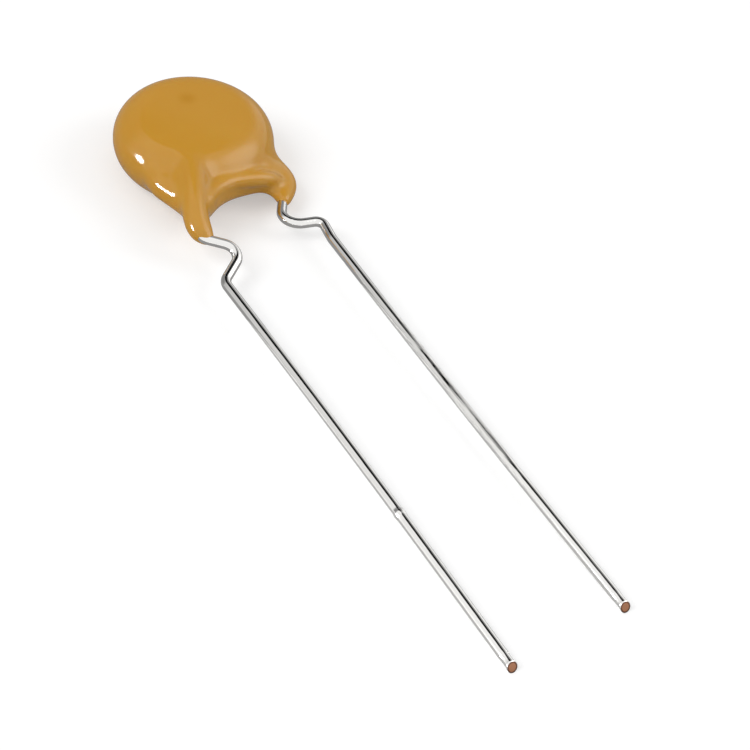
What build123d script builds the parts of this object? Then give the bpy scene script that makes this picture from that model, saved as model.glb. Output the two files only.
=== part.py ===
from build123d import *
from math import acos, atan, atan2, cos, degrees, hypot, radians, sin, tan
import os

# A radial leaded ceramic disc capacitor. Lengths are in millimetres.
# It is drawn about its own disc: the disc's middle is the origin, Z is the
# disc's axis, and the two leads leave towards -Y. The last step tips it on
# to its back face and lead ends, as it comes to rest on a table.

# Ceramic disc and the fired silver electrode on each of its faces
CERAMIC_D = 8.0
CERAMIC_T = 2.0
CERAMIC_EDGE_R = 0.15
ELECTRODE_D = 7.0
ELECTRODE_T = 0.05

# Solder bead over the end of each lead, and the film of it under the wire
SOLDER_L = 3.2
SOLDER_R = 0.74
SOLDER_FILM = 0.05

# Tinned wire leads
WIRE_D = 0.6
LEAD_PITCH = 7.5
LEAD_DROP = 0.7
LEFT_TIP_Y = -41.95
RIGHT_TIP_Y = -41.1
TIP_BREAK = 0.05

# Dipped coating
COAT_D = 9.6
COAT_T = 4.0
COAT_RIM_R = 1.9
LEG_BLEND_R = 0.5

# Web of coating between the legs
WEB_T = 1.6
WEB_Z = -0.2
WEB_LEAN = 6.5
WEB_EDGE_R = 0.55
WEB_CORNER_R = 0.45
WEB_ARCH_R = 2.5
WEB_BLEND_R = 0.9

WIRE_R = WIRE_D / 2
HALF_PITCH = LEAD_PITCH / 2
COAT_R = COAT_D / 2
FACE_Z = CERAMIC_T / 2 + ELECTRODE_T
WIRE_Z = FACE_Z + SOLDER_FILM + WIRE_R

# Corners of each lead's axis with their bend radii, from the soldered end
# to the start of the straight leg. The left lead lies on the front face and
# has the sharper kink; the right lead lies on the back face.
LEFT_CORNERS = [
    (-1.0, 0.4, WIRE_Z, 0),
    (-2.15, -3.8, WIRE_Z, 1.2),
    (-3.82, -7.95, 0.1, 0.65),
    (-1.82, -9.33, -0.35, 0.55),
    (-HALF_PITCH, -11.1, -LEAD_DROP, 0.8),
]
RIGHT_CORNERS = [
    (1.0, 0.6, -WIRE_Z, 0),
    (2.75, -3.1, -WIRE_Z, 1.0),
    (3.9, -4.4, -1.05, 0.75),
    (1.5, -8.12, -LEAD_DROP, 0.95),
    (3.98, -8.7, -LEAD_DROP, 0.5),
    (HALF_PITCH, -10.3, -LEAD_DROP, 2.0),
]

# Coating over each lead: the middle, half width and half height of its
# section, from inside the disc outwards.
LEFT_LEG = [
    (-1.3, -1.6, 0.75, 0.9, 1.0),
    (-2.1, -3.7, 0.92, 0.95, 0.95),
    (-2.75, -5.2, 0.72, 0.92, 0.92),
    (-3.3, -6.4, 0.42, 0.8, 0.82),
    (-3.66, -7.3, 0.2, 0.68, 0.7),
    (-3.6, -7.9, 0.08, 0.58, 0.58),
    (-3.36, -8.2, 0.0, 0.46, 0.46),
]
RIGHT_LEG = [
    (1.6, -1.6, -0.4, 1.9, 1.3),
    (2.7, -2.9, -0.7, 1.5, 1.1),
    (3.5, -3.9, -0.95, 0.95, 0.82),
    (3.64, -4.8, -0.95, 0.7, 0.68),
    (3.25, -5.6, -0.87, 0.52, 0.52),
    (2.78, -6.25, -0.79, 0.43, 0.43),
]
# Outline of the web in plan, with y from the disc's lower rim: from inside the
# disc round the left side, the arch and the right side. WEB_ARCH is the
# corner that is the arch's own.
WEB_CORNERS = [
    (-0.3, 5.8),
    (-4.45, 3.9),
    (-3.97, -0.25),
    (-3.4, -1.5),
    (-2.25, -1.65),
    (-0.55, -0.3),
    (3.0, -0.05),
    (3.8, 0.6),
    (3.2, 2.8),
]
WEB_ARCH = 5


def bent_axis(corners, tip_y):
    """Axis of a formed lead: straight runs between the corners, each corner
    rounded to its bend radius, then the straight leg down to the tip."""
    points = [Vector(*corner[:3]) for corner in corners]
    points.append(Vector(points[-1].X, tip_y, points[-1].Z))
    runs = []
    start = points[0]
    for i in range(1, len(points) - 1):
        to_last = (points[i - 1] - points[i]).normalized()
        to_next = (points[i + 1] - points[i]).normalized()
        half_angle = radians(to_last.get_angle(to_next)) / 2
        bend_r = corners[i][3]
        reach = bend_r / tan(half_angle)
        inward = (to_last + to_next).normalized() * (bend_r / sin(half_angle) - bend_r)
        bend_start = points[i] + to_last * reach
        bend_end = points[i] + to_next * reach
        runs.append(Line(start, bend_start))
        runs.append(ThreePointArc(bend_start, points[i] + inward, bend_end))
        start = bend_end
    runs.append(Line(start, points[-1]))
    return Wire(runs)


def wire_lead(corners, tip_y):
    """Round wire along its axis, with the cut end's edge just broken."""
    path = bent_axis(corners, tip_y)
    section = Plane(origin=path @ 0, z_dir=path % 0) * Circle(WIRE_R)
    lead = sweep(section, path=path)
    cut_end = lead.faces().sort_by(Axis.Y)[0]
    return chamfer(cut_end.edges(), TIP_BREAK).solids()[0]


def solder_bead(corners, side):
    """Bead of solder over the first run of a lead, flat on the electrode."""
    start = Vector(*corners[0][:3])
    along = (Vector(*corners[1][:3]) - start).normalized()
    middle = start + along * (SOLDER_L / 2 - WIRE_D)
    seat = Plane(origin=(middle.X, middle.Y, side * FACE_Z), x_dir=along, z_dir=(0, 0, side))
    half_slot = split(SlotOverall(SOLDER_L, 2 * SOLDER_R), bisect_by=Plane.ZX)
    return seat * revolve(half_slot, axis=Axis.X, revolution_arc=180)


def coated_leg(stations):
    """Loft of ellipses square to a bent axis."""
    middles = [Vector(*station[:3]) for station in stations]
    sections = []
    for i, (x, y, z, half_w, half_h) in enumerate(stations):
        before = middles[max(i - 1, 0)]
        after = middles[min(i + 1, len(middles) - 1)]
        along = (after - before).normalized()
        plane = Plane(origin=(x, y, z), x_dir=along.cross(Vector(0, 0, 1)), z_dir=along)
        sections.append(plane * Ellipse(half_w, half_h))
    return loft(sections)


def web():
    """Plate of coating between the legs with its arch and rounded edges. It
    leans from the front lead's side of the disc to the back lead's."""
    corners = [(x, y - COAT_R, 0) for x, y in WEB_CORNERS]
    outline = make_face(Polyline(*corners, close=True))
    for i in range(2, len(corners) - 1):
        corner = outline.vertices().sort_by_distance(corners[i])[0]
        outline = fillet(corner, WEB_ARCH_R if i == WEB_ARCH else WEB_CORNER_R)
    plate = extrude(outline, WEB_T / 2, both=True)
    plate = fillet(plate.edges().filter_by(Plane.XY), WEB_EDGE_R)
    return Pos(0, 0, WEB_Z) * Rotation(0, WEB_LEAN, 0) * plate


def blended(first, second, blend_r):
    """Union of two solids with a fillet along the seam between them. A
    smaller fillet is taken where the asked one has no room."""
    both = first + second
    if not both.is_valid:
        both = both.fix()
    seam = []
    for edge in both.edges():
        spots = [edge @ 0.27, edge @ 0.5]
        on_both = max(max(first.distance_to(p), second.distance_to(p)) for p in spots)
        if edge.length > 0.02 and on_both < 0.001:
            seam.append(edge)
    for share in (1, 0.8, 0.6, 0.4, 0.25):
        try:
            rounded = fillet(seam, blend_r * share)
        except ValueError:
            continue
        if rounded.is_valid and len(rounded.solids()) == 1:
            return rounded
    return both


def domed_disc():
    """Coated disc: two shallow domes that run into a round rim."""
    rim_mid = COAT_R - COAT_RIM_R
    dome_r = dome_radius()
    lean = atan(rim_mid / (dome_r - COAT_T / 2))
    meet_x = rim_mid + COAT_RIM_R * sin(lean)
    meet_z = COAT_RIM_R * cos(lean)
    outline = make_face([
        RadiusArc((0, COAT_T / 2), (meet_x, meet_z), dome_r),
        ThreePointArc((meet_x, meet_z), (COAT_R, 0), (meet_x, -meet_z)),
        RadiusArc((meet_x, -meet_z), (0, -COAT_T / 2), dome_r),
        Line((0, -COAT_T / 2), (0, COAT_T / 2)),
    ])
    return revolve(Plane.XZ * outline, axis=Axis.Z)


def dome_radius():
    """Radius of the dome that meets the round rim without a corner."""
    rim_mid = COAT_R - COAT_RIM_R
    rise = COAT_T / 2 - COAT_RIM_R
    return (rim_mid**2 + (COAT_T / 2) ** 2 - COAT_RIM_R**2) / (2 * rise)


# What the coating holds
ceramic = Cylinder(CERAMIC_D / 2, CERAMIC_T)
ceramic_disc = fillet(ceramic.edges().filter_by(GeomType.CIRCLE), CERAMIC_EDGE_R)
layer = Cylinder(ELECTRODE_D / 2, ELECTRODE_T, align=(Align.CENTER, Align.CENTER, Align.MIN))
electrode_front = Pos(0, 0, CERAMIC_T / 2) * layer
electrode_back = Pos(0, 0, -FACE_Z) * layer
lead_left = wire_lead(LEFT_CORNERS, LEFT_TIP_Y)
lead_right = wire_lead(RIGHT_CORNERS, RIGHT_TIP_Y)
solder_front = solder_bead(LEFT_CORNERS, 1) - lead_left
solder_back = solder_bead(RIGHT_CORNERS, -1) - lead_right

# The dip: the disc, the web below it and the leg over each lead, blended
epoxy_coating = blended(domed_disc(), web(), WEB_BLEND_R)
epoxy_coating = blended(epoxy_coating, coated_leg(LEFT_LEG), LEG_BLEND_R)
epoxy_coating = blended(epoxy_coating, coated_leg(RIGHT_LEG), LEG_BLEND_R)
for held in (ceramic_disc, electrode_front, electrode_back, solder_front, solder_back, lead_left, lead_right):
    epoxy_coating = epoxy_coating - held

pieces = {
    "ceramic_disc": ceramic_disc,
    "electrode_front": electrode_front,
    "electrode_back": electrode_back,
    "solder_front": solder_front,
    "solder_back": solder_back,
    "lead_left": lead_left,
    "lead_right": lead_right,
    "epoxy_coating": epoxy_coating,
}

# At rest the back dome and the longer lead's end both touch the table. The
# dome is part of a ball, whose middle stands its own radius above the table.
dome_r = dome_radius()
lead_below_ball = dome_r - COAT_T / 2 + LEAD_DROP + WIRE_R
tip_reach = -LEFT_TIP_Y
rest_tilt = atan2(tip_reach, lead_below_ball) - acos(dome_r / hypot(tip_reach, lead_below_ball))
tipped = {name: Rotation(degrees(rest_tilt), 0, 0) * piece for name, piece in pieces.items()}
box = Compound(children=[Compound(piece.solids()) for piece in tipped.values()]).bounding_box()
to_floor = Pos(-box.center().X, -box.center().Y, -box.min.Z)

os.makedirs("parts", exist_ok=True)
for name, piece in tipped.items():
    placed = to_floor * piece
    solids = placed.solids()
    if len(solids) != 1:
        raise ValueError(f"{name} is {len(solids)} solids")
    export_step(solids[0], f"parts/{name}.step")
print("tilt", degrees(rest_tilt), "disc middle", tuple((to_floor * Pos(0, 0, 0)).position))
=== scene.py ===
"""Looks of the ceramic disc capacitor: the dipped coat, the tinned leads, the table and the studio."""

import logging
from dataclasses import dataclass
from enum import Enum
from math import atan, cos, pi, radians, sin, tan

import bmesh
import bpy
from mathutils import Matrix, Vector

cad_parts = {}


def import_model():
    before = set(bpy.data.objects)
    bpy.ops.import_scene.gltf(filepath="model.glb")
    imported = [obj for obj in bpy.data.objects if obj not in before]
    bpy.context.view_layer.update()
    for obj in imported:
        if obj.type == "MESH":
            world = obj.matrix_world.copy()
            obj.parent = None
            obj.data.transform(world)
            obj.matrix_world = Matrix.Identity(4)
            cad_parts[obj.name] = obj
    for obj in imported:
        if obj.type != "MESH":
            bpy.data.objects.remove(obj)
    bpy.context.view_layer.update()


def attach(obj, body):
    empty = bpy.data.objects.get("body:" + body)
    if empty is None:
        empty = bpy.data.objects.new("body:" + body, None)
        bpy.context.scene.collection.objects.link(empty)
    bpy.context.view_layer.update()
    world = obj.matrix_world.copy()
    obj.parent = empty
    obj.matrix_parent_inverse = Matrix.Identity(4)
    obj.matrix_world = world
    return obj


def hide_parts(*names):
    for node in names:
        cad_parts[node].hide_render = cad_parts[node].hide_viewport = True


log = logging.getLogger("disc_capacitor")

# One millimetre in metres. The part is drawn in millimetres and placed in metres.
MM = 0.001

# Where the leads run in the drawing, in millimetres: the height of a soldered run over the disc's
# middle, half the lead spacing, and how far the straight legs lie below the disc's middle.
WIRE_Z = 1.4
HALF_PITCH = 3.75
LEAD_DROP = 0.7

# Watts for each square metre of a square lamp's face that make it as bright as white paper. A round
# lamp as wide comes out 4 / pi times as bright.
WATTS_FOR_WHITE = 4.0

# Middle, half width and half height of a section.
Station = tuple[float, float, float, float, float]
# Corner of a wire's axis and its bend radius.
Corner = tuple[float, float, float, float]
Triple = tuple[float, float, float]


@dataclass(frozen=True)
class Rest:
    """How the part lies: drawn about its own disc, then tipped on to its back face and lead ends.

    The tilt is in degrees and the place of the disc's middle in millimetres, as the part's source prints
    them.
    """

    tilt: float = 1.38306
    disc_middle: Triple = (0.0, 18.56388, 2.01224)

    def turn(self) -> Matrix:
        """Rotation that tips the drawing to its rest."""
        return Matrix.Rotation(radians(self.tilt), 4, "X")

    def placement(self) -> Matrix:
        """Drawing in millimetres to the table in metres."""
        return Matrix.Scale(MM, 4) @ Matrix.Translation(self.disc_middle) @ self.turn()

    def point(self, drawn: Vector) -> Vector:
        """Place on the table, in metres, of a drawn point."""
        return self.placement() @ drawn


class NodeBench:
    """Short way to put shader nodes together."""

    def __init__(self, owner: bpy.types.Material | bpy.types.World) -> None:
        """Starts with no nodes.

        Args:
            owner: Material or world that the nodes belong to.
        """
        owner.use_nodes = True
        self.owner = owner
        self.tree = owner.node_tree
        self.tree.nodes.clear()

    def node(
        self, kind: str, sockets: dict[str | int, object] | None = None, **options: object
    ) -> bpy.types.Node:
        """Adds a node.

        Args:
            kind: Class name of the node.
            sockets: What each input gets, a value or another node's output, by the input's name or number.
            options: Properties of the node by name.

        Returns:
            The new node.
        """
        made = self.tree.nodes.new(kind)
        for key, value in options.items():
            setattr(made, key, value)
        for key, value in (sockets or {}).items():
            if isinstance(value, bpy.types.NodeSocket):
                self.tree.links.new(value, made.inputs[key])
            else:
                made.inputs[key].default_value = value
        return made

    def shown(self) -> bpy.types.NodeSocket:
        """Adds the nodes that tell what is looked at from what only gives light.

        Returns:
            Socket that is 1 for the camera, for gloss and through clear matter, and 0 for plain light.
        """
        rays = self.node("ShaderNodeLightPath").outputs
        direct = {0: rays["Is Camera Ray"], 1: rays["Is Glossy Ray"]}
        seen = self.node("ShaderNodeMath", direct, operation="MAXIMUM")
        either = {0: seen.outputs[0], 1: rays["Is Transmission Ray"]}
        return self.node("ShaderNodeMath", either, operation="MAXIMUM").outputs[0]

    def surface(self, shader: bpy.types.NodeSocket) -> bpy.types.Material | bpy.types.World:
        """Ends the nodes in that shader.

        Args:
            shader: Output of the last shader.

        Returns:
            The finished material or world.
        """
        is_world = isinstance(self.owner, bpy.types.World)
        self.node("ShaderNodeOutputWorld" if is_world else "ShaderNodeOutputMaterial", {"Surface": shader})
        return self.owner

    def glowing_sheet(self, tone: float, cover: float | bpy.types.NodeSocket) -> bpy.types.Material:
        """Ends the nodes in an even glow that hides a share of what lies behind it.

        Args:
            tone: Brightness of the glow, where 1 is white.
            cover: Share that it hides.

        Returns:
            The finished material.
        """
        clear = self.node("ShaderNodeBsdfTransparent").outputs["BSDF"]
        glow = self.node("ShaderNodeEmission", {"Strength": tone}).outputs["Emission"]
        return self.surface(self.node("ShaderNodeMixShader", {0: cover, 1: clear, 2: glow}).outputs["Shader"])


@dataclass(frozen=True)
class EpoxyFinish:
    """Glossy ochre dip, a little deeper in tone here and there, with one faint dark spot on the face.

    The spot's place on the table, its radius and the depth of the glow are in millimetres.
    """

    tone: Triple = (0.590, 0.300, 0.040)
    deep: Triple = (0.540, 0.262, 0.026)
    cloud_scale: float = 160.0
    cloud_detail: float = 3.0
    spot: Triple = (0.17, 19.98, 4.05)
    spot_r: float = 0.8
    spot_strength: float = 1.1
    roughness: float = 0.11
    ior: float = 1.42
    glow: float = 0.2
    glow_depth: float = 0.25
    glow_spread: Triple = (1.0, 0.45, 0.12)

    def material(self) -> bpy.types.Material:
        """Builds the material.

        Returns:
            The epoxy.
        """
        bench = NodeBench(bpy.data.materials.new("ochre_epoxy"))
        where = bench.node("ShaderNodeTexCoord").outputs["Object"]
        cloud = bench.node("ShaderNodeTexNoise", {
            "Vector": where,
            "Scale": self.cloud_scale,
            "Detail": self.cloud_detail,
        })
        away = bench.node("ShaderNodeVectorMath", {0: where, 1: Vector(self.spot) * MM}, operation="DISTANCE")
        dark_spot = bench.node("ShaderNodeMapRange", {
            "Value": away.outputs["Value"],
            "From Min": self.spot_r * MM,
            "From Max": 0.0,
            "To Max": self.spot_strength,
        }, interpolation_type="SMOOTHSTEP")
        depth = bench.node("ShaderNodeMath", {
            0: cloud.outputs["Fac"],
            1: dark_spot.outputs["Result"],
        }, operation="ADD")
        colour = bench.node("ShaderNodeMix", {
            "A": (*self.tone, 1),
            "B": (*self.deep, 1),
            "Factor": depth.outputs[0],
        }, data_type="RGBA", clamp_factor=False)
        skin = bench.node("ShaderNodeBsdfPrincipled", {
            "Base Color": colour.outputs["Result"],
            "Roughness": self.roughness,
            "IOR": self.ior,
            "Subsurface Weight": self.glow,
            "Subsurface Radius": self.glow_spread,
            "Subsurface Scale": self.glow_depth * MM,
        })
        return bench.surface(skin.outputs["BSDF"])


@dataclass(frozen=True)
class TinFinish:
    """Bright tin with fine drawing streaks along the wire.

    Over the worn stretch, in millimetres along the table's Y, the streaks are deeper, to their full depth
    over its middle share worn_even.
    """

    name: str = "bright_tin"
    worn: tuple[float, float] | None = None
    tone: Triple = (0.86, 0.85, 0.83)
    roughness: float = 0.10
    streak: float = 0.10
    worn_streak: float = 0.9
    worn_even: float = 0.7
    streak_scale: Triple = (9000.0, 260.0, 9000.0)
    streak_detail: float = 2.0
    streak_height: float = 0.05

    def worn_depth(self, bench: NodeBench, where: bpy.types.NodeSocket) -> bpy.types.NodeSocket:
        """Adds the nodes that deepen the streaks over the worn stretch.

        Args:
            bench: Bench of the material.
            where: Object coordinates.

        Returns:
            Strength of the streaks' relief.
        """
        half = (self.worn[1] - self.worn[0]) / 2
        along = bench.node("ShaderNodeSeparateXYZ", {0: where}).outputs["Y"]
        off = bench.node("ShaderNodeMath", {0: along, 1: sum(self.worn) / 2 * MM}, operation="SUBTRACT")
        reach = bench.node("ShaderNodeMath", {0: off.outputs[0]}, operation="ABSOLUTE")
        return bench.node("ShaderNodeMapRange", {
            "Value": reach.outputs[0],
            "From Min": half * MM,
            "From Max": half * self.worn_even * MM,
            "To Min": self.streak,
            "To Max": self.worn_streak,
        }, interpolation_type="SMOOTHSTEP").outputs["Result"]

    def material(self) -> bpy.types.Material:
        """Builds the material.

        Returns:
            The tin.
        """
        bench = NodeBench(bpy.data.materials.new(self.name))
        where = bench.node("ShaderNodeTexCoord").outputs["Object"]
        drawn_out = bench.node("ShaderNodeMapping", {"Vector": where, "Scale": self.streak_scale})
        grain = bench.node("ShaderNodeTexNoise", {
            "Vector": drawn_out.outputs["Vector"],
            "Scale": 1.0,
            "Detail": self.streak_detail,
        })
        relief = bench.node("ShaderNodeBump", {
            "Strength": self.worn_depth(bench, where) if self.worn else self.streak,
            "Distance": self.streak_height * MM,
            "Height": grain.outputs["Fac"],
        })
        skin = bench.node("ShaderNodeBsdfPrincipled", {
            "Base Color": (*self.tone, 1),
            "Metallic": 1.0,
            "Roughness": self.roughness,
            "Normal": relief.outputs["Normal"],
        })
        return bench.surface(skin.outputs["BSDF"])


@dataclass(frozen=True)
class CopperFinish:
    """Bare copper of a cut wire end, dulled by the cut."""

    name: str = "cut_copper"
    tone: Triple = (0.42, 0.19, 0.10)
    roughness: float = 0.45
    metallic: float = 0.6

    def material(self) -> bpy.types.Material:
        """Builds the material.

        Returns:
            The copper.
        """
        bench = NodeBench(bpy.data.materials.new(self.name))
        skin = bench.node("ShaderNodeBsdfPrincipled", {
            "Base Color": (*self.tone, 1),
            "Metallic": self.metallic,
            "Roughness": self.roughness,
        })
        return bench.surface(skin.outputs["BSDF"])


@dataclass(frozen=True)
class PaperFinish:
    """White paper under the part. It keeps the part's shadow and shows white where it has none."""

    tone: float = 0.64
    lift: float = 0.40

    def material(self) -> bpy.types.Material:
        """Builds the material.

        Returns:
            The paper.
        """
        bench = NodeBench(bpy.data.materials.new("white_paper"))
        matt = bench.node("ShaderNodeBsdfDiffuse", {"Color": (self.tone, self.tone, self.tone, 1)})
        level = bench.node("ShaderNodeMath", {0: bench.shown(), 1: self.lift}, operation="MULTIPLY")
        glow = bench.node("ShaderNodeEmission", {"Strength": level.outputs[0]})
        both = bench.node("ShaderNodeAddShader", {0: matt.outputs["BSDF"], 1: glow.outputs["Emission"]})
        return bench.surface(both.outputs["Shader"])


@dataclass(frozen=True)
class CardFinish:
    """Even tone of a card that the gloss reflects.

    Seen from the aim, it covers all within the solid angle of its heading and nothing past the clear
    angle, both in degrees, and thins out between them.
    """

    name: str
    tone: float
    aim: Vector
    heading: Vector
    solid: float
    clear: float

    def material(self) -> bpy.types.Material:
        """Builds the material.

        Returns:
            The card's tone.
        """
        bench = NodeBench(bpy.data.materials.new(self.name))
        where = bench.node("ShaderNodeTexCoord").outputs["Object"]
        reach = bench.node("ShaderNodeVectorMath", {0: where, 1: self.aim}, operation="SUBTRACT")
        way = bench.node("ShaderNodeVectorMath", {0: reach.outputs["Vector"]}, operation="NORMALIZE")
        lean = bench.node("ShaderNodeVectorMath", {
            0: way.outputs["Vector"],
            1: self.heading,
        }, operation="DOT_PRODUCT")
        cover = bench.node("ShaderNodeMapRange", {
            "Value": lean.outputs["Value"],
            "From Min": cos(radians(self.clear)),
            "From Max": cos(radians(self.solid)),
        }, interpolation_type="SMOOTHSTEP")
        return bench.glowing_sheet(self.tone, cover.outputs["Result"])


@dataclass(frozen=True)
class MatFinish:
    """Grey of a sheet that the gloss reflects, painted shade on the reflected table. It hides a share of the
    table below it.
    """

    name: str
    tone: float
    cover: float

    def material(self) -> bpy.types.Material:
        """Builds the material and returns it."""
        return NodeBench(bpy.data.materials.new(self.name)).glowing_sheet(self.tone, self.cover)


def as_object(bm: bmesh.types.BMesh, name: str, finishes: list[bpy.types.Material]) -> bpy.types.Object:
    """Turns a bmesh into an object of the scene.

    Args:
        bm: Mesh in metres. It is freed.
        name: Name of the object.
        finishes: Materials, in the order of the faces' material numbers.

    Returns:
        The object, at the origin, unturned and unscaled.
    """
    mesh = bpy.data.meshes.new(name)
    bm.to_mesh(mesh)
    bm.free()
    for finish in finishes:
        mesh.materials.append(finish)
    made = bpy.data.objects.new(name, mesh)
    bpy.context.scene.collection.objects.link(made)
    return made


class Workshop:
    """Turns a drawn mesh into a finished piece of the part."""

    def __init__(self, rest: Rest) -> None:
        """Keeps how the part lies.

        Args:
            rest: Placement of the drawing on the table.
        """
        self.rest = rest

    def piece(self, bm: bmesh.types.BMesh, name: str, finishes: list[bpy.types.Material]) -> bpy.types.Object:
        """Places a drawn mesh on the table and makes its object.

        Args:
            bm: Mesh in millimetres, in the drawing. It is freed.
            name: Name of the piece.
            finishes: Materials, in the order of the faces' material numbers.

        Returns:
            The object, at the origin, unturned and unscaled.
        """
        bmesh.ops.transform(bm, matrix=self.rest.placement(), verts=bm.verts)
        for face in bm.faces:
            face.smooth = True
        made = as_object(bm, name, finishes)
        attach(made, "root")
        return made


def verts_of(geometry: list) -> list[bmesh.types.BMVert]:
    """Vertices among what an operator returned."""
    return [item for item in geometry if isinstance(item, bmesh.types.BMVert)]


def edges_of(geometry: list) -> list[bmesh.types.BMEdge]:
    """Edges among what an operator returned."""
    return [item for item in geometry if isinstance(item, bmesh.types.BMEdge)]


def frame_at(middle: Vector, along: Vector, half_w: float, half_h: float) -> Matrix:
    """Frame of a section square to an axis.

    Args:
        middle: Middle of the section.
        along: Direction of the axis.
        half_w: Half width, level across the axis.
        half_h: Half height.

    Returns:
        Matrix that takes a unit circle on XY to the section.
    """
    forward = along.normalized()
    across = forward.cross(Vector((0, 0, 1))).normalized()
    upward = across.cross(forward)
    turned = Matrix((across, upward, -forward)).transposed().to_4x4()
    return Matrix.Translation(middle) @ turned @ Matrix.Diagonal((half_w, half_h, 1, 1))


def drawn_along(bm: bmesh.types.BMesh, frames: list[Matrix], sides: int) -> list[bmesh.types.BMFace]:
    """Extrudes a circle through a row of frames into a closed tube.

    Args:
        bm: Mesh that gets the tube.
        frames: Section frames from the start to the end.
        sides: Number of sides.

    Returns:
        The face that closes the far end.
    """
    first = bmesh.ops.create_circle(bm, cap_ends=True, segments=sides, radius=1.0, matrix=frames[0])
    rim = list({edge for vert in first["verts"] for edge in vert.link_edges})
    for before, after in zip(frames, frames[1:]):
        step = bmesh.ops.extrude_edge_only(bm, edges=rim)["geom"]
        ring = verts_of(step)
        bmesh.ops.transform(bm, matrix=after @ before.inverted(), verts=ring)
        inside = set(ring)
        rim = [edge for edge in edges_of(step) if all(vert in inside for vert in edge.verts)]
    return bmesh.ops.contextual_create(bm, geom=rim)["faces"]


def eased(stations: tuple[Station, ...], steps: int) -> list[Station]:
    """Rows between the given stations, on a smooth curve that goes through each of them.

    Args:
        stations: Middles and half sizes.
        steps: Rows for each gap.

    Returns:
        The finer list.
    """
    held = [stations[0], *stations, stations[-1]]
    rows: list[Station] = []
    for i in range(1, len(held) - 2):
        around = list(zip(held[i - 1], held[i], held[i + 1], held[i + 2]))
        for k in range(steps):
            t = k / steps
            rows.append(tuple(
                0.5 * (
                    2 * b
                    + (c - a) * t
                    + (2 * a - 5 * b + 4 * c - d) * t**2
                    + (3 * b - a - 3 * c + d) * t**3
                )
                for a, b, c, d in around
            ))
    rows.append(stations[-1])
    return rows


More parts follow.
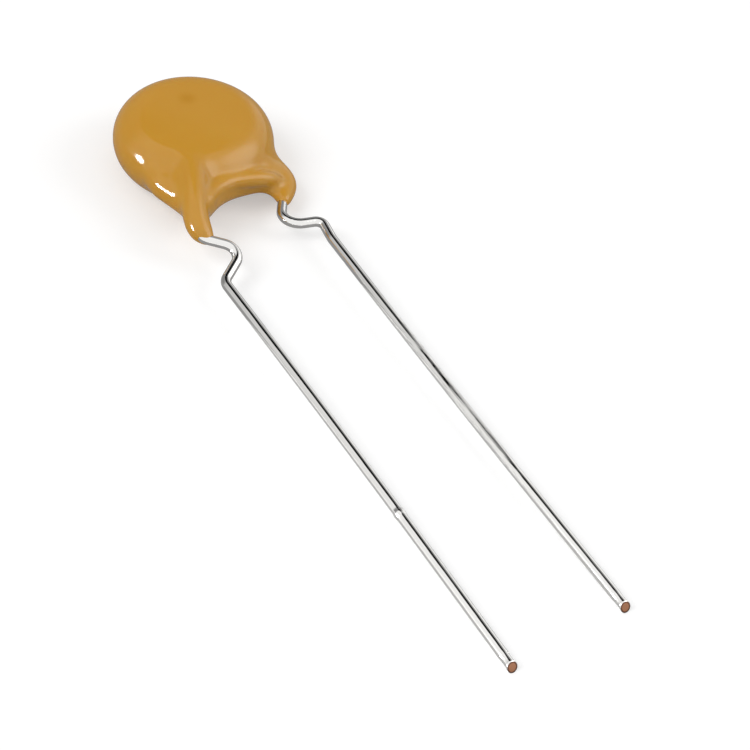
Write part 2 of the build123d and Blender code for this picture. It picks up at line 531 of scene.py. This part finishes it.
@dataclass(frozen=True)
class DippedCoat:
    """The epoxy dip: domed disc, the web below it and a leg down each lead, drawn together as wet epoxy.

    Lengths are in millimetres. web_corners is the web's outline in plan, and web_arch the number of its
    corner that is rounded into the arch. The bodies are melted on the grid into one skin, a little proud
    by the fill, whose inner corners get pull_r. Then the lip along the arch is laid on and drawn in by
    lip_pull_r. The skin is softened least within end_reach of the legs' ends.
    """

    across: float = 9.52
    thickness: float = 3.84
    rim_r: float = 1.88
    dome_steps: int = 16
    rim_steps: int = 40
    round_steps: int = 128
    merge: float = 0.0005

    web_t: float = 1.6
    web_z: float = -0.2
    web_lean: float = 6.5
    web_edge_r: float = 0.7
    web_edge_steps: int = 5
    web_arch: int = 6
    web_arch_reach: float = 1.2
    web_arch_steps: int = 8
    web_corners: tuple[tuple[float, float], ...] = (
        (-0.3, 1.0),
        (-4.6, -1.2),
        (-4.45, -3.4),
        (-3.85, -5.0),
        (-3.6, -6.3),
        (-2.25, -6.45),
        (-0.55, -5.1),
        (3.0, -4.85),
        (3.8, -4.2),
        (3.2, -2.0),
    )

    leg_sides: int = 48
    leg_rows: int = 4
    leg_end_rows: int = 6
    left_leg: tuple[Station, ...] = (
        (-1.3, -1.6, 0.75, 0.85, 1.00),
        (-2.1, -3.7, 0.92, 0.82, 0.95),
        (-2.75, -5.2, 0.72, 0.76, 0.92),
        (-3.24, -6.4, 0.42, 0.72, 0.82),
        (-3.45, -7.2, 0.22, 0.68, 0.68),
        (-3.43, -7.75, 0.08, 0.60, 0.58),
        (-3.36, -8.06, 0.00, 0.42, 0.42),
    )
    right_leg: tuple[Station, ...] = (
        (1.6, -1.6, -0.40, 1.90, 1.30),
        (2.7, -2.9, -0.70, 1.50, 1.10),
        (3.5, -3.9, -0.95, 0.98, 0.86),
        (3.64, -4.8, -0.95, 0.72, 0.70),
        (3.25, -5.6, -0.87, 0.52, 0.52),
        (2.86, -6.12, -0.80, 0.40, 0.40),
    )
    lip: tuple[Station, ...] = (
        (-2.85, -6.30, 0.60, 0.30, 0.34),
        (-2.19, -5.84, 0.66, 0.42, 0.45),
        (-1.77, -5.47, 0.63, 0.44, 0.45),
        (-1.12, -5.06, 0.59, 0.45, 0.45),
        (-0.52, -4.86, 0.54, 0.45, 0.45),
        (0.17, -4.77, 0.47, 0.45, 0.45),
        (1.06, -4.85, 0.39, 0.45, 0.45),
        (1.78, -4.95, 0.28, 0.45, 0.45),
        (2.50, -5.00, 0.05, 0.40, 0.40),
        (3.20, -5.00, -0.40, 0.30, 0.30),
    )

    pull_r: float = 1.0
    lip_pull_r: float = 0.25
    fill: float = 0.03
    grid: float = 0.07
    even_share: float = 0.5
    even_rounds: int = 10
    soft_rounds: int = 30
    settle_rounds: int = 14
    end_reach: tuple[float, float] = (1.3, 2.6)

    def domed_disc(self, bm: bmesh.types.BMesh) -> None:
        """Spins the disc from its half section: a shallow dome, the round rim and a dome again.

        Args:
            bm: Empty mesh that gets the disc.
        """
        rim_mid = self.across / 2 - self.rim_r
        half = self.thickness / 2
        dome_r = (rim_mid**2 + half**2 - self.rim_r**2) / (2 * (half - self.rim_r))
        lean = atan(rim_mid / (dome_r - half))
        arcs = (
            ((0, 0, half - dome_r), lean, self.dome_steps),
            ((rim_mid, 0, 0), pi - 2 * lean, self.rim_steps),
            ((0, 0, dome_r - half), lean, self.dome_steps),
        )
        last = [bm.verts.new((0, 0, half))]
        for middle, angle, steps in arcs:
            turned = bmesh.ops.spin(bm, geom=last, cent=middle, axis=(0, 1, 0), angle=angle, steps=steps)
            last = verts_of(turned["geom_last"])
        bmesh.ops.spin(
            bm, geom=bm.verts[:] + bm.edges[:], cent=(0, 0, 0), axis=(0, 0, 1), angle=2 * pi,
            steps=self.round_steps, use_merge=True,
        )
        bmesh.ops.remove_doubles(bm, verts=bm.verts, dist=self.merge)

    def web(self, bm: bmesh.types.BMesh) -> None:
        """Extrudes the plate between the legs, rounds its arch and its edges and leans it.

        Args:
            bm: Mesh that gets the plate.
        """
        plate = bmesh.new()
        corners = [plate.verts.new((x, y, -self.web_t / 2)) for x, y in self.web_corners]
        top = verts_of(bmesh.ops.extrude_face_region(plate, geom=[plate.faces.new(corners)])["geom"])
        bmesh.ops.translate(plate, vec=(0, 0, self.web_t), verts=top)
        arch_corner = corners[self.web_arch]
        arch = [edge for edge in arch_corner.link_edges if edge.other_vert(arch_corner) in top]
        bmesh.ops.bevel(
            plate, geom=arch, offset=self.web_arch_reach, segments=self.web_arch_steps,
            profile=0.5, affect="EDGES", material=-1,
        )
        rims = [edge for edge in plate.edges if abs(edge.verts[0].co.z - edge.verts[1].co.z) < self.merge]
        bmesh.ops.bevel(
            plate, geom=rims, offset=self.web_edge_r, segments=self.web_edge_steps,
            profile=0.5, affect="EDGES", material=-1,
        )
        lean = Matrix.Translation((0, 0, self.web_z)) @ Matrix.Rotation(radians(self.web_lean), 4, "Y")
        bmesh.ops.transform(plate, matrix=lean, verts=plate.verts)
        mesh = bpy.data.meshes.new("web")
        plate.to_mesh(mesh)
        plate.free()
        bm.from_mesh(mesh)
        bpy.data.meshes.remove(mesh)

    def leg(self, bm: bmesh.types.BMesh, stations: tuple[Station, ...]) -> None:
        """Draws an oval section along the given stations and rounds its end.

        Args:
            bm: Mesh that gets the leg.
            stations: Middles and half sizes of its sections.
        """
        rows = eased(stations, self.leg_rows)
        middles = [Vector(row[:3]) for row in rows]
        frames = []
        for i, row in enumerate(rows):
            along = middles[min(i + 1, len(rows) - 1)] - middles[max(i - 1, 0)]
            frames.append(frame_at(middles[i], along, row[3], row[4]))
        along = (middles[-1] - middles[-2]).normalized()
        end_r = rows[-1][3]
        for k in range(1, self.leg_end_rows):
            turn = pi / 2 * k / self.leg_end_rows
            spot = middles[-1] + along * (end_r * sin(turn))
            frames.append(frame_at(spot, along, end_r * cos(turn), end_r * cos(turn)))
        drawn_along(bm, frames, self.leg_sides)

    def one_skin(self, bm: bmesh.types.BMesh, pull_r: float) -> bmesh.types.BMesh:
        """Melts the separate bodies into one closed skin that fills their inner corners.

        The bodies are swelled, joined and drawn back, so that each inner corner keeps the pull radius.

        Args:
            bm: The overlapping closed bodies. It is freed.
            pull_r: Radius that each inner corner gets.

        Returns:
            The joined skin.
        """
        bmesh.ops.recalc_face_normals(bm, faces=bm.faces)
        holder = as_object(bm, "dip_parts", [])
        for swell in (pull_r, self.fill - pull_r):
            offset = holder.modifiers.new("offset", "DISPLACE")
            offset.direction = "NORMAL"
            offset.mid_level = 0.0
            offset.strength = swell
            melt = holder.modifiers.new("melt", "REMESH")
            melt.mode = "VOXEL"
            melt.voxel_size = self.grid
            even = holder.modifiers.new("even", "SMOOTH")
            even.factor = self.even_share
            even.iterations = self.even_rounds
        graph = bpy.context.evaluated_depsgraph_get()
        skin = bmesh.new()
        skin.from_mesh(holder.evaluated_get(graph).to_mesh())
        bpy.data.meshes.remove(holder.data)
        return skin

    def relax(self, skin: bmesh.types.BMesh, moved: list[bmesh.types.BMVert]) -> None:
        """Draws each of these vertices towards its neighbours."""
        bmesh.ops.smooth_vert(
            skin, verts=moved, factor=self.even_share, use_axis_x=True, use_axis_y=True, use_axis_z=True
        )

    def settle(self, skin: bmesh.types.BMesh) -> None:
        """Softens the skin, less and less towards the ends of the legs.

        Args:
            skin: The joined skin.
        """
        tips = [Vector(self.left_leg[-1][:3]), Vector(self.right_leg[-1][:3])]
        near, far = self.end_reach
        for turn in range(self.soft_rounds):
            reach = near + (far - near) * turn / self.soft_rounds
            moved = [vert for vert in skin.verts if min((vert.co - tip).length for tip in tips) > reach]
            self.relax(skin, moved)

    def build(self, shop: Workshop) -> bpy.types.Object:
        """Builds and dresses the coat.

        Args:
            shop: Workshop that places it.

        Returns:
            The coat.
        """
        bm = bmesh.new()
        self.domed_disc(bm)
        self.web(bm)
        self.leg(bm, self.left_leg)
        self.leg(bm, self.right_leg)
        skin = self.one_skin(bm, self.pull_r)
        self.settle(skin)
        self.leg(skin, self.lip)
        skin = self.one_skin(skin, self.lip_pull_r)
        for _ in range(self.settle_rounds):
            self.relax(skin, skin.verts)
        bmesh.ops.recalc_face_normals(skin, faces=skin.faces)
        coat = shop.piece(skin, "dipped_coat", [EpoxyFinish().material()])
        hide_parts("epoxy_coating")
        return coat


class WireFace(Enum):
    """Material number of each kind of face on a lead."""

    TIN = 0
    COPPER = 1
    CUT_RIM = 2


@dataclass(frozen=True)
class WireLead:
    """One tinned lead: its bent run, the long straight leg and the cut end.

    Lengths are in millimetres, and the slant of the cut is in degrees. The straight leg bows sideways a
    little. The wire is pinched to its share neck within neck_reach of the cut end, and raised to its
    share nick_swell at the nick, which is given by its place along the leg.
    """

    name: str
    node: str
    corners: tuple[Corner, ...]
    tip_y: float
    bow: float
    nick: float | None = None
    nick_swell: float = 1.12
    nick_reach: float = 0.3
    neck: float = 0.92
    neck_reach: float = 0.9
    cut_slant: float = 24.0
    cut_rim: float = 0.085
    wire_r: float = 0.3
    sides: int = 40
    arc_steps: int = 10
    leg_steps: int = 60
    fine_steps: int = 6

    def bent_run(self, points: list[Vector]) -> list[Vector]:
        """Start of the lead and each of its corners, rounded to its bend radius.

        Args:
            points: Corners of the axis, with the cut end last.

        Returns:
            Points along the axis down to the start of the straight leg.
        """
        axis = [points[0]]
        for i in range(1, len(points) - 1):
            to_last = (points[i - 1] - points[i]).normalized()
            to_next = (points[i + 1] - points[i]).normalized()
            half_angle = to_last.angle(to_next) / 2
            bend_r = self.corners[i][3]
            reach = bend_r / tan(half_angle)
            hub = points[i] + (to_last + to_next).normalized() * (bend_r / sin(half_angle))
            spoke = points[i] + to_last * reach - hub
            turn = pi - 2 * half_angle
            pole = to_next.cross(to_last).normalized()
            for k in range(self.arc_steps + 1):
                axis.append(hub + Matrix.Rotation(turn * k / self.arc_steps, 3, pole) @ spoke)
        return axis

    def straight_leg(self, start: Vector, end: Vector) -> list[Vector]:
        """Points down the straight leg, closer together at the nick and before the cut end.

        Args:
            start: Where the leg starts.
            end: Middle of the cut end.

        Returns:
            Points along the leg without its start.
        """
        length = (end - start).length
        fine = [(length, self.neck_reach)]
        if self.nick is not None:
            fine.append((start.y - self.nick, self.nick_reach))
        stops = [length * k / self.leg_steps for k in range(1, self.leg_steps)]
        for place, reach in fine:
            stops = [stop for stop in stops if abs(stop - place) > reach]
            finer = range(-self.fine_steps, self.fine_steps + 1)
            stops += [place + reach * k / self.fine_steps for k in finer]
        axis = []
        for stop in sorted(stop for stop in stops if stop <= length):
            t = stop / length
            spot = start.lerp(end, t)
            spot.x += self.bow * sin(pi * t)
            axis.append(spot)
        return axis

    def swell(self, y: float) -> float:
        """Share of the wire's radius: pinched before the cut end, raised at the nick.

        Args:
            y: Place on the straight leg.

        Returns:
            The share.
        """
        share = 1.0
        from_tip = (y - self.tip_y) / self.neck_reach
        if 0 < from_tip < 1:
            share -= (1.0 - self.neck) * sin(pi * from_tip)
        if self.nick is not None:
            off = min(abs(y - self.nick) / self.nick_reach, 1.0)
            share += (self.nick_swell - 1.0) * (0.5 + 0.5 * cos(pi * off))
        return share

    def frames(self) -> list[Matrix]:
        """Section frames along the axis, carried on without twist, the cut end's slanted.

        Returns:
            The frames from the soldered end to the cut end.
        """
        points = [Vector(corner[:3]) for corner in self.corners]
        points.append(Vector((points[-1].x, self.tip_y, points[-1].z)))
        bent = self.bent_run(points)
        axis = bent + self.straight_leg(bent[-1], points[-1])
        along = (axis[1] - axis[0]).normalized()
        across = along.cross(Vector((0, 0, 1))).normalized()
        frames = []
        for i, spot in enumerate(axis):
            ahead = (axis[min(i + 1, len(axis) - 1)] - axis[max(i - 1, 0)]).normalized()
            across = along.rotation_difference(ahead) @ across
            along = ahead
            upward = across.cross(along)
            turned = Matrix((across, upward, -along)).transposed().to_4x4()
            section_r = self.wire_r * (self.swell(spot.y) if i >= len(bent) else 1.0)
            slant = Matrix.Identity(4)
            from_tip = (spot.y - self.tip_y) / self.neck_reach
            if from_tip < 1:
                slant[2][1] = tan(radians(self.cut_slant)) * (1 - from_tip) ** 2
            size = Matrix.Diagonal((section_r, section_r, 1, 1))
            frames.append(Matrix.Translation(spot) @ turned @ slant @ size)
        return frames

    def build(self, shop: Workshop, finishes: list[bpy.types.Material]) -> bpy.types.Object:
        """Builds and dresses the lead.

        Args:
            shop: Workshop that places it.
            finishes: Tin, copper and the dark rim of the cut.

        Returns:
            The lead.
        """
        bm = bmesh.new()
        end = drawn_along(bm, self.frames(), self.sides)
        bmesh.ops.recalc_face_normals(bm, faces=bm.faces)
        ring = bmesh.ops.inset_region(bm, faces=end, thickness=self.cut_rim, depth=0.0)["faces"]
        for faces, kind in ((ring, WireFace.CUT_RIM), (end, WireFace.COPPER)):
            for face in faces:
                face.material_index = kind.value
        lead = shop.piece(bm, self.name, finishes)
        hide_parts(self.node)
        return lead


def both_leads() -> tuple[WireLead, WireLead]:
    """Sizes of the leads, from their soldered ends down.

    Returns:
        The left lead, soldered to the front face, and the right lead, soldered to the back face.
    """
    left = WireLead("left_lead", "lead_left", (
        (-1.0, 0.4, WIRE_Z, 0),
        (-2.15, -3.8, WIRE_Z, 1.2),
        (-3.82, -7.95, 0.1, 0.65),
        (-1.62, -9.42, -0.35, 0.85),
        (-HALF_PITCH, -11.1, -LEAD_DROP, 0.8),
    ), tip_y=-41.80, bow=0.1, nick=-30.55)
    right = WireLead("right_lead", "lead_right", (
        (1.0, 0.6, -WIRE_Z, 0),
        (2.75, -3.1, -WIRE_Z, 1.0),
        (3.9, -4.4, -1.05, 0.75),
        (1.46, -8.2, -LEAD_DROP, 1.0),
        (3.98, -8.7, -LEAD_DROP, 0.5),
        (HALF_PITCH, -10.3, -LEAD_DROP, 2.0),
    ), tip_y=-40.95, bow=-0.1)
    return left, right


def gloss_only(bm: bmesh.types.BMesh, name: str, finish: bpy.types.Material) -> bpy.types.Object:
    """Puts a mesh on the set so that only reflections show it.

    Args:
        bm: Mesh in metres. It is freed.
        name: Name of the object.
        finish: Its material.

    Returns:
        The object.
    """
    made = as_object(bm, name, [finish])
    made.visible_camera = False
    made.visible_diffuse = False
    made.visible_shadow = False
    made.visible_transmission = False
    return made


@dataclass(frozen=True)
class Card:
    """Square card that only the gloss sees: dark to calm a reflection, bright to raise one.

    It stands off from the part by its distance in metres. The angles are those of its finish.
    """

    name: str
    toward: Triple
    tone: float
    solid: float
    clear: float
    distance: float

    def build(self, aim: Vector) -> bpy.types.Object:
        """Makes the card.

        Args:
            aim: Point that it faces, in metres.

        Returns:
            The card.
        """
        heading = Vector(self.toward).normalized()
        turned = heading.to_track_quat("Z", "Y").to_matrix().to_4x4()
        place = Matrix.Translation(aim + heading * self.distance) @ turned
        half_side = self.distance * tan(radians(self.clear))
        bm = bmesh.new()
        bmesh.ops.create_grid(bm, x_segments=1, y_segments=1, size=half_side, matrix=place)
        finish = CardFinish(self.name, self.tone, aim, heading, self.solid, self.clear)
        return gloss_only(bm, self.name, finish.material())


@dataclass(frozen=True)
class Mat:
    """Grey sheet on the table that only the gloss sees: painted shade in reflections of the table, for the
    part's contact shadow and the darker room round a lit part.

    Its middle, its size and its height over the table are in millimetres.
    """

    name: str
    middle: tuple[float, float]
    size: tuple[float, float]
    tone: float
    cover: float
    lift: float = 0.02

    def build(self) -> bpy.types.Object:
        """Makes the sheet.

        Returns:
            The sheet.
        """
        spot = Matrix.Translation(Vector((*self.middle, self.lift)) * MM)
        place = spot @ Matrix.Diagonal((*self.size, 1, 1))
        bm = bmesh.new()
        bmesh.ops.create_grid(bm, x_segments=1, y_segments=1, size=MM / 2, matrix=place)
        return gloss_only(bm, self.name, MatFinish(self.name, self.tone, self.cover).material())


class LampRole(Enum):
    """What a lamp does for the picture. Only the spark shows in the gloss, and it lights nothing else."""

    KEY = "key"
    FILL = "fill"
    SPARK = "spark"


@dataclass(frozen=True)
class SoftLamp:
    """Lamp that faces the disc, square or, as a spark, round. Its distance and its side are in metres."""

    role: LampRole
    toward: Triple
    distance: float
    side: float
    level: float

    def build(self, aim: Vector) -> bpy.types.Object:
        """Makes the lamp.

        Args:
            aim: Point that it lights, in metres.

        Returns:
            The lamp.
        """
        is_spark = self.role is LampRole.SPARK
        data = bpy.data.lights.new(self.role.value, "AREA")
        data.shape = "DISK" if is_spark else "SQUARE"
        data.size = self.side
        data.energy = self.level * WATTS_FOR_WHITE * self.side**2
        lamp = bpy.data.objects.new(self.role.value, data)
        bpy.context.scene.collection.objects.link(lamp)
        heading = Vector(self.toward).normalized()
        lamp.location = aim + heading * self.distance
        lamp.rotation_mode = "QUATERNION"
        lamp.rotation_quaternion = heading.to_track_quat("Z", "Y")
        lamp.visible_glossy = is_spark
        lamp.visible_diffuse = not is_spark
        return lamp


@dataclass(frozen=True)
class Studio:
    """Table, background, lamps, and the cards and mats that shape the reflections.

    The lamps and the cards face one point of the drawing, in millimetres. The table's side is in metres.
    """

    rest: Rest
    faced: Triple = (0.0, -2.0, 0.0)
    table_side: float = 1.2
    ambient: float = 0.6
    lamps: tuple[SoftLamp, ...] = (
        SoftLamp(LampRole.KEY, (-0.7, 0.1, 0.7), 0.5, 0.30, 3.0),
        SoftLamp(LampRole.FILL, (0.75, -0.4, 0.55), 0.5, 0.25, 2.5),
        SoftLamp(LampRole.SPARK, (-0.96, 0.21, 0.17), 0.5, 0.16, 36.0),
    )
    cards: tuple[Card, ...] = (
        Card("back_card", (-0.05, 1.0, 0.05), 0.25, 38, 60, 0.50),
        Card("face_card", (0.38, 0.60, 0.70), 0.25, 10, 36, 0.48),
        Card("line_card", (0.17, 0.55, 0.82), 0.0, 15, 17, 0.44),
        Card("tip_line_card", (0.22, 0.34, 0.91), 0.0, 11, 13, 0.43),
        Card("kink_card", (0.43, -0.87, 0.24), 0.0, 8, 10, 0.42),
        Card("front_card", (0.66, -0.42, 0.62), 3.4, 10, 34, 0.45),
    )
    # The mats are painted shade that only the gloss sees. The lead mats darken the reflected table along each
    # lead, where its contact shadow lies. The body mat darkens it under and behind the body.
    mats: tuple[Mat, ...] = (
        Mat("body_shade_mat", (0.0, 255.0), (700.0, 500.0), 0.20, 0.85),
        Mat("left_lead_shade_mat", (-3.7, -9.5), (4.4, 29.0), 0.12, 0.55),
        Mat("right_lead_shade_mat", (3.7, -9.5), (4.4, 29.0), 0.12, 0.55),
    )

    def table(self) -> bpy.types.Object:
        """White paper that the part lies on.

        Returns:
            The table.
        """
        bm = bmesh.new()
        bmesh.ops.create_grid(bm, x_segments=1, y_segments=1, size=self.table_side / 2)
        made = as_object(bm, "table", [PaperFinish().material()])
        return made

    def background(self) -> None:
        """White where it is seen, plain light where it isn't."""
        bench = NodeBench(bpy.data.worlds.new("studio"))
        level = bench.node("ShaderNodeMapRange", {
            "Value": bench.shown(),
            "To Min": self.ambient,
            "To Max": 1.0,
        })
        light = bench.node("ShaderNodeBackground", {
            "Color": (1, 1, 1, 1),
            "Strength": level.outputs["Result"],
        })
        bpy.context.scene.world = bench.surface(light.outputs["Background"])

    def build(self) -> None:
        """Builds the whole set."""
        self.table()
        self.background()
        aim = self.rest.point(Vector(self.faced))
        for lamp in self.lamps:
            lamp.build(aim)
            log.info("lamp %s", lamp.role.value)
        for card in self.cards:
            card.build(aim)
            log.info("card %s", card.name)
        for mat in self.mats:
            mat.build()
            log.info("mat %s", mat.name)


@dataclass(frozen=True)
class PhotoCamera:
    """Camera fitted to the photograph.

    Its angles are in degrees, in the drawing's own frame. The disc's middle is so far right, down and
    ahead of the camera, in millimetres.
    """

    azimuth: float = -36.812
    elevation: float = 44.242
    roll: float = 9.262
    right: float = -10.800
    down: float = -14.028
    ahead: float = 156.166
    lens: float = 125.918
    sensor: float = 36.0
    clip: tuple[float, float] = (0.001, 20.0)

    def build(self, rest: Rest) -> bpy.types.Object:
        """Makes the camera.

        Args:
            rest: How the part lies.

        Returns:
            The scene's camera.
        """
        turn, rise, lean = radians(self.azimuth), radians(self.elevation), radians(self.roll)
        back = Vector((sin(turn) * cos(rise), -cos(turn) * cos(rise), sin(rise)))
        level = (-back).cross(Vector((0, 0, 1))).normalized()
        upright = level.cross(-back)
        across = level * cos(lean) + upright * sin(lean)
        up = upright * cos(lean) - level * sin(lean)
        drawn = -across * self.right + up * self.down + back * self.ahead
        data = bpy.data.cameras.new("photo_camera")
        data.lens = self.lens
        data.sensor_width = self.sensor
        data.clip_start, data.clip_end = self.clip
        camera = bpy.data.objects.new("photo_camera", data)
        bpy.context.scene.collection.objects.link(camera)
        turned = Matrix((across, up, back)).transposed().to_4x4()
        camera.matrix_world = Matrix.Translation(rest.point(drawn)) @ rest.turn() @ turned
        bpy.context.scene.camera = camera
        return camera


def corners(box: tuple[Vector, Vector]) -> list[list[float]]:
    """Box corners as plain lists."""
    return [list(box[0]), list(box[1])]


def main() -> None:
    """Builds the part's looks and its studio."""
    logging.basicConfig(level=logging.INFO, format="%(name)s: %(message)s")
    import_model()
    rest = Rest()
    shop = Workshop(rest)
    coat = DippedCoat().build(shop)
    log.info("coat: %d faces", len(coat.data.polygons))
    cut_end = [CopperFinish().material(), CopperFinish("cut_rim", (0.16, 0.07, 0.04), 0.5).material()]
    tins = (TinFinish(), TinFinish("worn_tin", worn=(-13.5, 1.5)))
    for lead, tin in zip(both_leads(), tins):
        made = lead.build(shop, [tin.material(), *cut_end])
        log.info("%s: %d faces", lead.name, len(made.data.polygons))
    Studio(rest).build()
    PhotoCamera().build(rest)
    bpy.context.scene.view_settings.view_transform = "Standard"


if __name__ == "__main__":
    main()
